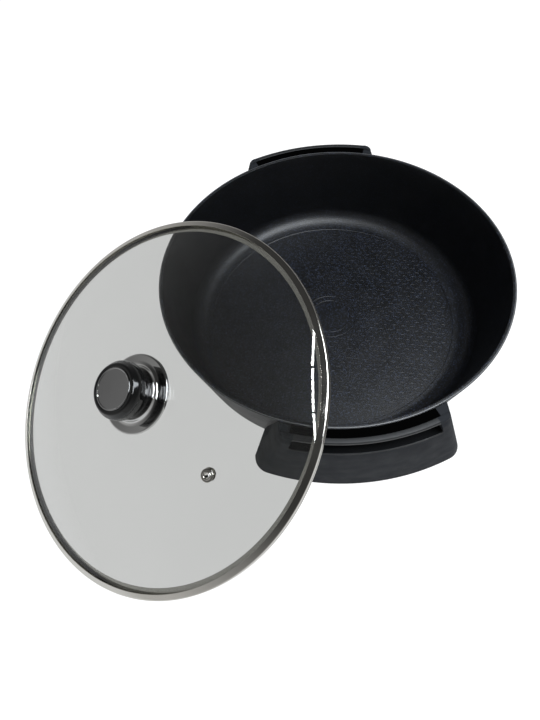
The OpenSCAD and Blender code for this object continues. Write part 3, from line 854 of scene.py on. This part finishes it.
class SKILLET_OT_legs(bpy.types.Operator):
    """Mould the two handle legs with their finger recesses and lips"""

    bl_idname = "skillet.legs"
    bl_label = "Handle legs"

    def execute(self, context):
        settings = context.scene.skillet_legs
        fine, coarse = (0.20, 1400.0), (0.30, 1400.0)
        looks = (
            ("handle_skirt", settings.skirt_colour, 0.62, coarse, 0.05),
            # The lip's finish is a lit copy of the skirt's plastic; the trough's and the recess's finishes
            # are painted shade
            ("handle_lip_lit", settings.lip_lit_colour, 0.48, fine, 0.40),
            ("handle_trough_shade", settings.trough_shade_colour, 0.30, (0.10, 600.0), 0.0),
            ("handle_recess_shade", settings.recess_shade_colour, 0.60, coarse, 0.02),
        )
        paints = []
        for name, colour, rough, grain, shine in looks:
            paints.append(plain_finish(
                name, colour, rough, grain, patch=20.0, drift=0.10, Specular_IOR_Level=shine))
        for name, turn in (("front_handle_leg", 0.0), ("rear_handle_leg", math.pi)):
            leg = leg_mesh(name + "_moulding", turn, settings)
            put(leg, "cooker", "handle_plastic", paints, name)
        return {"FINISHED"}


# Feet, screws and the parts underneath

FOOT_R, FOOT_H = 7.0, 4.0
STEM_R, STEM_TOP = 3.0, 11.8
# Screws: head radius, head height and shank radius
LARGE_SCREW = (4.5, 3.0, 2.4)
SMALL_HEAD_R, SMALL_HEAD_H = 3.75, 2.5
SMALL_SCREW = (SMALL_HEAD_R, SMALL_HEAD_H, 1.9)
SHANK_POINT = 0.6
# Shares of a screw's head: its upright side, and its slot's half width, reach and depth
HEAD_SIDE = 0.45
SLOT_HALF, SLOT_REACH, SLOT_DEPTH = 0.13, 0.56, 0.5
# Places of the screws, from the pan's axis
HANDLE_SCREW_R = 172.65
HANDLE_SCREW_TURN = math.radians(14)
COVER_SCREW_R = 76.0
GASKET_T, WASHER_T = 1.5, 1.2


class SKILLET_OT_feet(bpy.types.Operator):
    """Turn the four rubber feet with their stems and gripping rings"""

    bl_idname = "skillet.feet"
    bl_label = "Feet"

    def execute(self, context):
        rubber = plain_finish(
            "foot_rubber", (0.018, 0.018, 0.018), rough=0.72, grain=(0.35, 900.0), patch=60.0, drift=0.2)
        outline = soften([
            (0.0, 0.5), (3.2, 0.5), (3.6, 0.0, 0.2), (4.6, 0.0, 0.2), (4.9, 0.4, 0.2), (5.4, 0.4, 0.2),
            (5.7, 0.0, 0.2), (FOOT_R, 0.0, 0.6), (FOOT_R, FOOT_H, 0.4), (STEM_R, FOOT_H, 0.3),
            (STEM_R, STEM_TOP, 0.8), (0.0, STEM_TOP)], 3)
        for node in ("front_left_foot", "front_right_foot", "rear_left_foot", "rear_right_foot"):
            spot = middle(node)
            place = Matrix.Translation((spot.x, spot.y, 0)) @ ROOT
            put(lathe(node + "_pad", outline, place, SMALL_STEPS), "cooker", "foot_rubber", [rubber], node)
        return {"FINISHED"}


def add_screws(name, spots, screw, body, zinc, node, length):
    """Round-headed screws with a cross slot; each spot is a matrix with z along the shank."""
    head_r, head_h, shank_r = screw
    rings = 10
    outline = []
    for ring in range(rings + 1):
        r = head_r * ring / rings
        outline.append(Vector((r, -head_h + head_h * (1 - HEAD_SIDE) * (r / head_r) ** 2)))
    outline += soften([
        (head_r, -head_h * HEAD_SIDE, head_h * 0.3), (head_r, 0.0, 0.15), (shank_r, 0.0),
        (shank_r, length - SHANK_POINT, 0.2), (shank_r - SHANK_POINT, length), (0.0, length)], 3)
    verts, faces = [], []
    for spot in spots:
        faces += moved(turned_faces(len(outline), SMALL_STEPS), len(verts))
        for x, y, z in turned_verts(outline, SMALL_STEPS):
            near, far = sorted((abs(x), abs(y)))
            slotted = near < head_r * SLOT_HALF and far < head_r * SLOT_REACH
            if slotted and z < -head_h * SLOT_DEPTH:
                z += head_h * SLOT_DEPTH
            verts.append(tuple(spot @ Vector((x, y, z))))
    screws = add_mesh(name, verts, faces, Matrix.Identity(4), sharp=30)
    put(screws, body, "screw_steel", [zinc], node)


class SKILLET_OT_screws(bpy.types.Operator):
    """Make the screws of the handles, inlet, cover and knob"""

    bl_idname = "skillet.screws"
    bl_label = "Screws"

    def execute(self, context):
        zinc = metal_finish("screw_zinc", (0.50, 0.51, 0.53), rough=0.30, grain=240.0, scratch=0.08)
        for node, turn in (("front_handle_screws", 0.0), ("rear_handle_screws", math.pi)):
            seat = Matrix.Translation((0, -HANDLE_SCREW_R * MM, middle(node).z))
            seat = seat @ Matrix.Rotation(-math.pi / 2, 4, "X") @ ROOT
            spots = [Matrix.Rotation(turn + side * HANDLE_SCREW_TURN, 4, "Z") @ seat for side in (-1, 1)]
            add_screws(node + "_set", spots, LARGE_SCREW, "cooker", zinc, node, length=7.6)
        seat_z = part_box("cover_screws")[0].z + SMALL_HEAD_H * MM
        seat = Matrix.Translation((COVER_SCREW_R * MM, 0, seat_z)) @ ROOT
        spots = [Matrix.Rotation(math.radians(angle), 4, "Z") @ seat for angle in (45, 135, 225, 315)]
        add_screws("cover_screws_set", spots, SMALL_SCREW, "cooker", zinc, "cover_screws", length=8.6)
        low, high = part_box("inlet_screws")
        x, y = (low.x + high.x) / 2, high.y - SMALL_HEAD_R * MM
        seat_z = low.z + SMALL_HEAD_H * MM
        spots = [Matrix.Translation((x, side * y, seat_z)) @ ROOT for side in (-1, 1)]
        add_screws("inlet_screws_set", spots, SMALL_SCREW, "cooker", zinc, "inlet_screws", length=10.9)
        spots = [LID @ Matrix.Translation((0, 0, APEX_Z - GLASS_T - GASKET_T - WASHER_T))]
        add_screws("knob_screw_turned", spots, LARGE_SCREW, "lid", zinc, "knob_screw", length=22.5)
        repaint("knob_washer", zinc)
        return {"FINISHED"}


class SKILLET_OT_underside(bpy.types.Operator):
    """Finish the element, terminals, inlet housing and bottom cover"""

    bl_idname = "skillet.underside"
    bl_label = "Underside"

    def execute(self, context):
        sheath = metal_finish("sheath_steel", (0.30, 0.29, 0.28), rough=0.42, grain=300.0, scratch=0.12)
        pins = metal_finish("pin_metal", (0.66, 0.64, 0.60), rough=0.22, grain=300.0, scratch=0.05)
        ceramic = plain_finish(
            "collar_ceramic", (0.72, 0.69, 0.62), rough=0.55, grain=(0.2, 700.0), patch=90.0, drift=0.06)
        bakelite = plain_finish(
            "inlet_bakelite", (0.018, 0.018, 0.019), rough=0.42, grain=(0.25, 1100.0), patch=40.0, drift=0.15)
        cover = metal_finish("cover_sheet", (0.52, 0.52, 0.51), rough=0.40, grain=160.0, scratch=0.10)
        repaint("heating_element", sheath)
        repaint("terminal_pins", pins)
        repaint("terminal_collars", ceramic)
        repaint("inlet_housing", bakelite)
        repaint("bottom_cover", cover)
        return {"FINISHED"}


# Lid

PLATE_R, PLATE_H = 37.0, 6.0
NECK_R, NECK_H = 23.5, 9.5
HEAD_R, HEAD_H = 26.5, 14.0
CAP_R = 19.0
CAP_SINK = 1.2
# Bores for the knob's screw through the plate and the glass, and up into the grip
SCREW_HOLE_R = 2.9
GRIP_BORE_R, GRIP_BORE_H = 2.6, 11.5
KNOB_STEPS = 128
# The glass: how wide its rounded edge is, and the hole for the vent
GLASS_EDGE = 1.6
GLASS_RINGS, GLASS_EDGE_STEPS = 56, 8
VENT_HOLE_R = 3.9
VENT_HOLE_DEPTH = 30.0
# The band: its gap over the glass, its sheet, thinner outside, and the inner edges of its two flanges
BAND_GAP = 0.35
SHEET, SHEET_THIN = 0.75, 0.25
BAND_SEAT_R, BAND_INNER_R = LID_R - 10.4, LID_R - 5.5
# Fine rolled lines on the upper flange: height, points, and the bare width outside and in all
LINE_H, LINE_POINTS = 0.006, 17
LINE_START, LINE_BARE = 1.7, 2.2
# The vent's eyelet: bore, barrel and flange, and how far it reaches below the glass's upper face
VENT_BORE_R, VENT_BARREL_R, VENT_FLANGE_R = 2.3, 3.75, 5.85
VENT_REACH, VENT_LIFT = 6.0, 0.12


def dome_z(radius, r):
    """Height of a sphere about the dome's centre at distance r from the knob's axis."""
    return SPHERE_Z + math.sqrt(radius * radius - r * r)


def vent_axis():
    """Centre of the dome's spheres, and the direction from it to the vent."""
    centre = LID @ Vector((0, 0, SPHERE_Z))
    return centre, (middle("vent_eyelet") - centre).normalized()


class SKILLET_OT_lid_glass(bpy.types.Operator):
    """Blow the domed glass with its rounded edge and vent hole"""

    bl_idname = "skillet.lid_glass"
    bl_label = "Lid glass"

    def execute(self, context):
        settings = context.scene.skillet_lid
        edge_r = GLASS_R - GLASS_EDGE
        pitch = (edge_r - SCREW_HOLE_R) / GLASS_RINGS
        radii = [SCREW_HOLE_R + pitch * ring for ring in range(GLASS_RINGS + 1)]
        outline = [Vector((r, dome_z(SPHERE_OUT, r))) for r in radii]
        middle_z = (dome_z(SPHERE_OUT, edge_r) + dome_z(SPHERE_IN, edge_r)) / 2
        half = middle_z - dome_z(SPHERE_IN, edge_r)
        for step in range(1, GLASS_EDGE_STEPS):
            angle = math.pi / 2 - math.pi * step / GLASS_EDGE_STEPS
            outline.append(Vector((edge_r + GLASS_EDGE * math.cos(angle), middle_z + half * math.sin(angle))))
        outline += [Vector((r, dome_z(SPHERE_IN, r))) for r in reversed(radii)]
        glass = lathe("lid_dome", outline, LID, settings.round_steps, closed=True, sharp=60)
        _, axis = vent_axis()
        cut_hole(glass, VENT_HOLE_R * MM, middle("vent_eyelet"), axis, VENT_HOLE_DEPTH * MM)
        put(glass, "lid", "lid_glass", [glass_finish("lid_glass", settings.glass_tint_and_shade)], "lid_glass")
        return {"FINISHED"}


class SKILLET_OT_lid_band(bpy.types.Operator):
    """Roll the steel band round the glass"""

    bl_idname = "skillet.lid_band"
    bl_label = "Lid band"

    def execute(self, context):
        settings = context.scene.skillet_lid
        under, seat, inner = SPHERE_OUT + BAND_GAP, BAND_SEAT_R, BAND_INNER_R

        def top(r):
            lift = SHEET_THIN + (SHEET - SHEET_THIN) * (LID_R - r) / (LID_R - inner)
            return (r, dome_z(under, r) + lift)

        lines = []
        for point in range(LINE_POINTS):
            r, z = top(LID_R - LINE_START - (LID_R - inner - LINE_BARE) * point / (LINE_POINTS - 1))
            lines.append((r, z + LINE_H * math.sin(math.pi / 2 * point)))
        outline = soften([
            (seat, SHEET), (seat, 0.0, 0.3), (seat + 3.0, 0.0, 0.4), (seat + 3.3, 0.22, 0.2),
            (seat + 3.9, 0.22, 0.2), (seat + 4.2, 0.0, 0.2), (LID_R, 0.0, 1.1), (LID_R, 2.0, 0.3),
            (LID_R - 0.3, 2.3, 0.2), (LID_R - 0.3, 2.8, 0.2), (LID_R, 3.1, 0.3),
            (*top(LID_R), 1.3), *lines, (*top(inner), 0.3), (inner, dome_z(under, inner), 0.2),
            (LID_R - 0.9, dome_z(under, LID_R - 0.9), 0.3), (LID_R - SHEET, SHEET, 0.2)], 5)
        steel = metal_finish("band_steel", settings.steel_colour, rough=0.075, grain=420.0, scratch=0.006)
        band = lathe("lid_rim_band", outline, LID, settings.round_steps, closed=True, sharp=30)
        put(band, "lid", "band_steel", [steel], "lid_band")
        return {"FINISHED"}


def plate_outline(low, top):
    """Closed section of the dished plate, from the dome's top to the grip."""
    edge, neck, bore = PLATE_R, NECK_R, SCREW_HOLE_R
    return soften([
        (bore, low + 1.5), (edge - 2.0, low + 1.5, 0.4), (edge - 2.0, low - 0.45, 0.3),
        (edge, low - 0.45, 0.6), (edge, low + 2.3, 1.0), (edge - 1.5, low + 2.6, 0.8),
        (neck + 6.0, low + 2.1, 6.0), (neck + 3.0, low + 2.8, 3.0), (neck + 1.4, top, 1.4), (bore, top)], 8)


def grip_outline(low, neck_top, top):
    """Section of the grip, from its screw bore round its stepped neck to the seat of the cap."""
    neck, head, seat = NECK_R, HEAD_R, CAP_R + 0.2
    bore = [Vector((0.0, low + GRIP_BORE_H)), Vector((GRIP_BORE_R, low + GRIP_BORE_H))]
    return bore + soften([
        (GRIP_BORE_R, low), (neck - 0.8, low, 0.8), (neck - 0.5, low + 3.8, 0.4),
        (neck - 1.0, low + 4.2, 0.3), (neck - 1.0, low + 4.9, 0.3), (neck, low + 5.3, 0.6),
        (neck, neck_top - 0.6, 1.0), (neck + 1.4, neck_top, 1.2), (head, neck_top + 2.2, 2.6),
        (head, top - 5.2, 6.5), (head - 4.0, top + 0.1, 5.0), (CAP_R + 0.9, top, 0.5),
        (seat, top - 0.5, 0.2), (seat, top - 1.25), (0.0, top - 1.25)], 10)


def cap_outline(top):
    """Section of the cap, a disc with a low raised edge."""
    low = top - CAP_SINK
    return soften([
        (0.0, low), (CAP_R, low, 0.2), (CAP_R, top + 0.2, 0.5), (CAP_R - 0.9, top + 0.3, 0.5),
        (CAP_R - 1.5, top - 0.1, 0.3), (0.0, top - 0.1)], 5)


class SKILLET_OT_knob(bpy.types.Operator):
    """Turn the knob's plate, grip and cap"""

    bl_idname = "skillet.knob"
    bl_label = "Knob"

    def execute(self, context):
        settings = context.scene.skillet_lid
        chrome = metal_finish("knob_chrome", settings.chrome_colour, rough=0.045, grain=200.0, scratch=0.01)
        black = plain_finish(
            "knob_black", settings.knob_colour, rough=0.10, grain=(0.015, 500.0), patch=60.0, drift=0.15,
            Coat_Weight=0.15, Coat_Roughness=0.04)
        mirror = metal_finish("cap_mirror", settings.cap_colour, rough=0.03, grain=200.0, scratch=0.01)
        silicone = plain_finish(
            "gasket_silicone", (0.62, 0.62, 0.60), rough=0.5, grain=(0.15, 600.0), patch=50.0, drift=0.06)
        plate_top = APEX_Z + PLATE_H
        neck_top = plate_top + NECK_H
        top = neck_top + HEAD_H
        plate = lathe("knob_plate", plate_outline(APEX_Z, plate_top), LID, KNOB_STEPS, closed=True, sharp=30)
        put(plate, "lid", "knob_chrome", [chrome], "knob_base")
        grip = lathe("knob_handle", grip_outline(plate_top, neck_top, top), LID, KNOB_STEPS, sharp=30)
        put(grip, "lid", "knob_plastic", [black], "knob_grip")
        cap = lathe("knob_insert", cap_outline(top), LID, KNOB_STEPS, sharp=30)
        put(cap, "lid", "cap_mirror", [mirror], "knob_cap")
        repaint("upper_gasket", silicone)
        repaint("lower_gasket", silicone)
        return {"FINISHED"}


class SKILLET_OT_vent(bpy.types.Operator):
    """Turn the steam vent's eyelet and finish the ring that holds it from below"""

    bl_idname = "skillet.vent"
    bl_label = "Steam vent"

    def execute(self, context):
        settings = context.scene.skillet_lid
        steel = metal_finish("vent_steel", settings.steel_colour, rough=0.12, grain=300.0, scratch=0.04)
        centre, axis = vent_axis()
        place = Matrix.Translation(centre + axis * SPHERE_OUT * MM) @ along(axis) @ ROOT
        bore, barrel, flange = VENT_BORE_R, VENT_BARREL_R, VENT_FLANGE_R
        outline = soften([
            (bore, -VENT_REACH), (bore, 0.6, 0.3), (2.9, 1.25, 0.4), (3.6, 1.25, 0.4), (3.9, 0.75, 0.3),
            (4.9, 0.85, 0.5), (flange, 0.7, 0.3), (flange, VENT_LIFT, 0.2), (barrel, VENT_LIFT, 0.2),
            (barrel, -VENT_REACH, 0.3)], 4)
        eyelet = lathe("vent_grommet", outline, place, steps=64, closed=True, sharp=32)
        put(eyelet, "lid", "vent_steel", [steel], "vent_eyelet")
        repaint("vent_ring", steel)
        return {"FINISHED"}


# Stage, in metres

SENSOR_H = 36.0
NEAREST = 0.01
FLOOR_HALF, FLOOR_DROP = 6.0, 0.0004
PAPER_TONE = (0.92, 0.92, 0.92, 1.0)

# The overhead light, cool and wide
KEY_PLACE, KEY_AIM = (0.45, -0.30, 1.6), (0.0, 0.0, 0.05)
KEY_SIZE, KEY_COLOUR = (1.2, 0.8), (0.90, 0.95, 1.0)

# Ends of the narrow lights overhead, which lie end to end and face one point
STRIP_W = 0.014
STRIP_AIM = (-0.04, -0.14, 0.15)
STRIPS = (
    ((-0.365, 0.090, 1.30), (-0.4175, -0.118, 1.30)),
    ((-0.4190, -0.130, 1.30), (-0.474, -0.387, 1.30)),
    ((-0.476, -0.399, 1.30), (-0.510, -0.600, 1.30)),
)

# How bright the floor itself looks to a kind of ray, and how much of its shading that hides
FLOOR_RAYS = (
    ("Is Camera Ray", 0.95, 0.75),
    ("Is Transmission Ray", 0.43, 0.90),
    ("Is Glossy Ray", 0.40, 0.60),
)


def add_camera(settings):
    """Camera at the photograph's place."""
    data = bpy.data.cameras.new("camera")
    data.sensor_fit = "VERTICAL"
    data.sensor_height = SENSOR_H
    data.lens = settings.lens
    data.clip_start = NEAREST
    eye = add_object("camera", data)
    eye.location = settings.eye
    eye.rotation_euler = Euler(settings.look)
    return eye


def paper_finish():
    """White paper that takes light from the lamps and also glows, by the kind of ray that meets it."""
    made = Finish("floor_paper", Base_Color=PAPER_TONE, Roughness=0.9)
    rays = made.node("ShaderNodeLightPath").outputs
    level, share = 0.0, 0.0
    for ray, bright, hidden in FLOOR_RAYS:
        level = made.math("ADD", made.math("MULTIPLY", rays[ray], bright), level)
        share = made.math("ADD", made.math("MULTIPLY", rays[ray], hidden), share)
    glow = made.wired("ShaderNodeEmission", WHITE, level)
    dark = made.wired("ShaderNodeBsdfDiffuse", BLACK)
    dim = made.wired("ShaderNodeMixShader", share, made.shader.outputs["BSDF"], dark)
    both = made.wired("ShaderNodeAddShader", dim, glow)
    out = [node for node in made.tree.nodes if node.type == "OUTPUT_MATERIAL"][0]
    made.link(both, out.inputs["Surface"])
    return made.material


def add_floor():
    """Wide floor just below the feet."""
    build = bmesh.new()
    bmesh.ops.create_grid(build, x_segments=8, y_segments=8, size=FLOOR_HALF)
    floor = add_built("floor", build)
    floor.location.z = -FLOOR_DROP
    floor.data.materials.append(paper_finish())


def room_world(settings):
    """Room with pale walls that fade upwards; it is white to the camera and straight through glass."""
    world = bpy.data.worlds.new("room")
    world.use_nodes = True
    nodes = Nodes(world.node_tree)
    rays = nodes.node("ShaderNodeLightPath").outputs
    # A ray that no mirror has turned yet passes straight through the glass
    straight = nodes.math("LESS_THAN", rays["Glossy Depth"], 0.5)
    ceiling = nodes.spread(straight, 0.0, 1.0, out_low=settings.ceiling)
    through = nodes.math("MULTIPLY", rays["Is Transmission Ray"], ceiling)
    white = nodes.math("MAXIMUM", rays["Is Camera Ray"], through)
    height = nodes.node("ShaderNodeSeparateXYZ")
    nodes.link(nodes.node("ShaderNodeTexCoord").outputs["Generated"], height.inputs["Vector"])
    wall = nodes.spread(
        height.outputs["Z"], 0.0, settings.wall_top, out_low=settings.wall, out_high=settings.room,
        interpolation_type="SMOOTHSTEP")
    back = nodes.tree.nodes["Background"]
    back.inputs["Color"].default_value = WHITE
    nodes.link(nodes.spread(white, 0.0, 1.0, out_low=wall), back.inputs["Strength"])
    return world


def lamp(name, place, turn, size, power, colour=WHITE[:3]):
    """Soft rectangular light."""
    data = bpy.data.lights.new(name, "AREA")
    data.shape = "RECTANGLE"
    data.size, data.size_y = size
    data.energy = power
    data.color = colour
    made = add_object(name, data)
    made.location = place
    made.rotation_euler = turn


def strip_turn(start, end):
    """Turn of a rectangular light whose length runs from start to end and that faces the strips' aim."""
    length = (end - start).normalized()
    back = (start + end) / 2 - Vector(STRIP_AIM)
    back = (back - length * back.dot(length)).normalized()
    return Matrix((length, back.cross(length), back)).transposed().to_euler()


def add_lights(settings):
    """The overhead light and the strips."""
    turn = (Vector(KEY_AIM) - Vector(KEY_PLACE)).to_track_quat("-Z", "Y").to_euler()
    lamp("key_light", KEY_PLACE, turn, KEY_SIZE, settings.key, KEY_COLOUR)
    for number, ends in enumerate(STRIPS):
        start, end = Vector(ends[0]), Vector(ends[1])
        length = (end - start).length
        size, power = (length, STRIP_W), settings.strip * length
        lamp(f"strip_light_{number}", (start + end) / 2, strip_turn(start, end), size, power)


class SKILLET_OT_stage(bpy.types.Operator):
    """Set the camera, floor and light"""

    bl_idname = "skillet.stage"
    bl_label = "Stage"

    def execute(self, context):
        scene = context.scene
        settings = scene.skillet_stage
        scene.camera = add_camera(settings)
        add_floor()
        scene.world = room_world(settings)
        add_lights(settings)
        scene.view_settings.view_transform = "Standard"
        return {"FINISHED"}


# Panel and start

PIECES = (
    SKILLET_OT_pan,
    SKILLET_OT_legs,
    SKILLET_OT_feet,
    SKILLET_OT_screws,
    SKILLET_OT_underside,
    SKILLET_OT_lid_glass,
    SKILLET_OT_lid_band,
    SKILLET_OT_knob,
    SKILLET_OT_vent,
    SKILLET_OT_stage,
)
SETTINGS = (
    ("skillet_pan", SkilletPanSettings),
    ("skillet_legs", SkilletLegSettings),
    ("skillet_lid", SkilletLidSettings),
    ("skillet_stage", SkilletStageSettings),
)


class SKILLET_PT_panel(bpy.types.Panel):
    """Lists the skillet's settings and pieces"""

    bl_idname = "SKILLET_PT_panel"
    bl_label = "Electric skillet"
    bl_space_type = "VIEW_3D"
    bl_region_type = "UI"
    bl_category = "Skillet"

    def draw(self, context):
        layout = self.layout
        for name, group in SETTINGS:
            box = layout.box()
            for prop in group.__annotations__:
                box.prop(getattr(context.scene, name), prop)
        for piece in PIECES:
            layout.operator(piece.bl_idname)


def register():
    for _, group in SETTINGS:
        bpy.utils.register_class(group)
    for piece in PIECES:
        bpy.utils.register_class(piece)
    bpy.utils.register_class(SKILLET_PT_panel)
    for name, group in SETTINGS:
        setattr(bpy.types.Scene, name, PointerProperty(type=group))


def unregister():
    for name, _ in SETTINGS:
        delattr(bpy.types.Scene, name)
    bpy.utils.unregister_class(SKILLET_PT_panel)
    for piece in reversed(PIECES):
        bpy.utils.unregister_class(piece)
    for _, group in reversed(SETTINGS):
        bpy.utils.unregister_class(group)


def main():
    register()
    for piece in PIECES:
        family, name = piece.bl_idname.split(".")
        getattr(getattr(bpy.ops, family), name)()
    bpy.context.view_layer.update()


if __name__ == "__main__":
    main()
